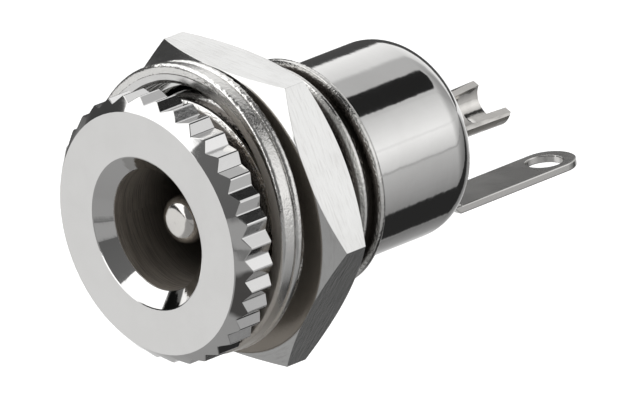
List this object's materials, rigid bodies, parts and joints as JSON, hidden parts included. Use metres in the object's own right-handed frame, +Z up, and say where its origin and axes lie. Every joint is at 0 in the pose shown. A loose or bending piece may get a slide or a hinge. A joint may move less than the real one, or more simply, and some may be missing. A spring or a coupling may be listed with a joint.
{
  "type": "dc barrel jack",
  "caption": "Panel-mount DC barrel socket: knurled round head, threaded metal bush with loose washers and hex nut, domed barrel, rear solder cup and flat solder tab.",
  "frame": {"origin": "on the jack's axis, at the rear face of the knurled head, which seats on the front of a panel", "axes": "+Y along the axis towards the terminals, so a plug enters from -Y; +Z up, with the flat solder tab on the -Z side; +X to the right seen from the front"},
  "size_m": [0.0172, 0.0285, 0.016],
  "materials": {
    "shell": "nickel plated, turned and polished",
    "washers": "nickel plated, tumbled edges",
    "nut": "nickel plated over fine brushing",
    "insulator": "moulded, matte",
    "centre_pin": "nickel plated, turned, satin",
    "sleeve_contact": "plated spring strip, satin"
  },
  "bodies": {
    "root": {"shell": "shell", "front_washer": "washers", "rear_washer": "washers", "hex_nut": "nut", "insulator": "insulator", "centre_pin": "centre_pin", "sleeve_contact": "sleeve_contact"}
  },
  "joints": []
}
